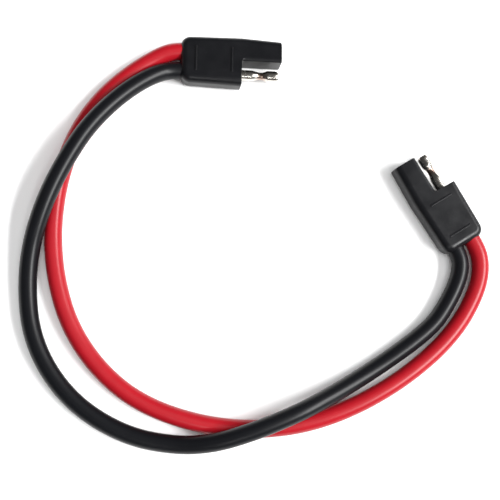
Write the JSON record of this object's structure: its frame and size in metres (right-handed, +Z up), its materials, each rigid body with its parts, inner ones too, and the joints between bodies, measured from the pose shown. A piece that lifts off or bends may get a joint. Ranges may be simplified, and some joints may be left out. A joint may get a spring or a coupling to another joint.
{
  "type": "solar cable connector",
  "caption": "Short two-conductor jumper lead, red and black, with a moulded flat polarised two-pin connector on each end.",
  "frame": {"origin": "under the middle of the box of the two connectors, on the surface the lead lies on", "axes": "+Z up from the table; +X along the row's longer side, close to the way connector a's mouth points; +Y towards connector a from connector b"},
  "size_m": [0.1874, 0.1658, 0.0144],
  "materials": {
    "overmould_black": "satin moulded soft plastic",
    "inner_mould_natural": "plain moulded",
    "contact_nickel": "bright nickel plate on brass",
    "sheath_red": "smooth extruded, semi-gloss",
    "sheath_black": "smooth extruded, semi-gloss",
    "insulation_natural": "plain extruded",
    "conductor_tinned": "tinned fine strands"
  },
  "bodies": {
    "root": {"connector_a_overmould": "overmould_black", "connector_a_inner_mould": "inner_mould_natural", "connector_a_bullet_contact": "contact_nickel", "connector_a_socket_contact": "contact_nickel", "connector_b_overmould": "overmould_black", "connector_b_inner_mould": "inner_mould_natural", "connector_b_bullet_contact": "contact_nickel", "connector_b_socket_contact": "contact_nickel", "red_cable_sheath": "sheath_red", "red_cable_insulation": "insulation_natural", "red_cable_conductor": "conductor_tinned", "black_cable_sheath": "sheath_black", "black_cable_insulation": "insulation_natural", "black_cable_conductor": "conductor_tinned"}
  },
  "joints": []
}
